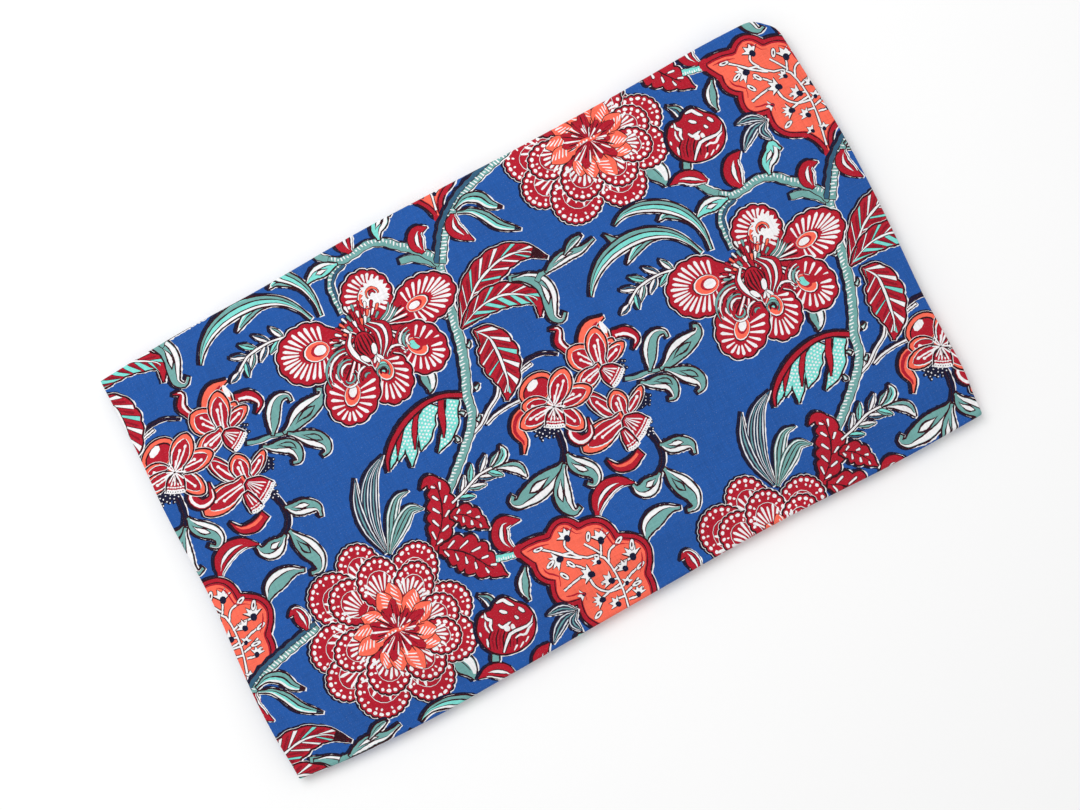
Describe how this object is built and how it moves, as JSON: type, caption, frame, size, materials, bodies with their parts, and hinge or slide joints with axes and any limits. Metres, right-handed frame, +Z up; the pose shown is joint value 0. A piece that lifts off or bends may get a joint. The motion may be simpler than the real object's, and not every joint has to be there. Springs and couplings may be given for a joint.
{
  "type": "folded block-printed cotton fabric",
  "caption": "Flat folded packet of block-printed cotton, doubled selvedge to selvedge and folded back and forth, with a trailing floral print.",
  "frame": {"origin": "middle of the underside of the folded packet", "axes": "+X from the open selvedge end to the centre fold, +Y from the front fold to the back fold, +Z up through the layers"},
  "size_m": [0.568, 0.3392, 0.0179],
  "materials": {
    "printed_cotton": "matt plain-weave cotton, block printed in blue, crimson, coral, sea green and white"
  },
  "bodies": {
    "root": {"printed_cloth": "printed_cotton"}
  },
  "joints": []
}
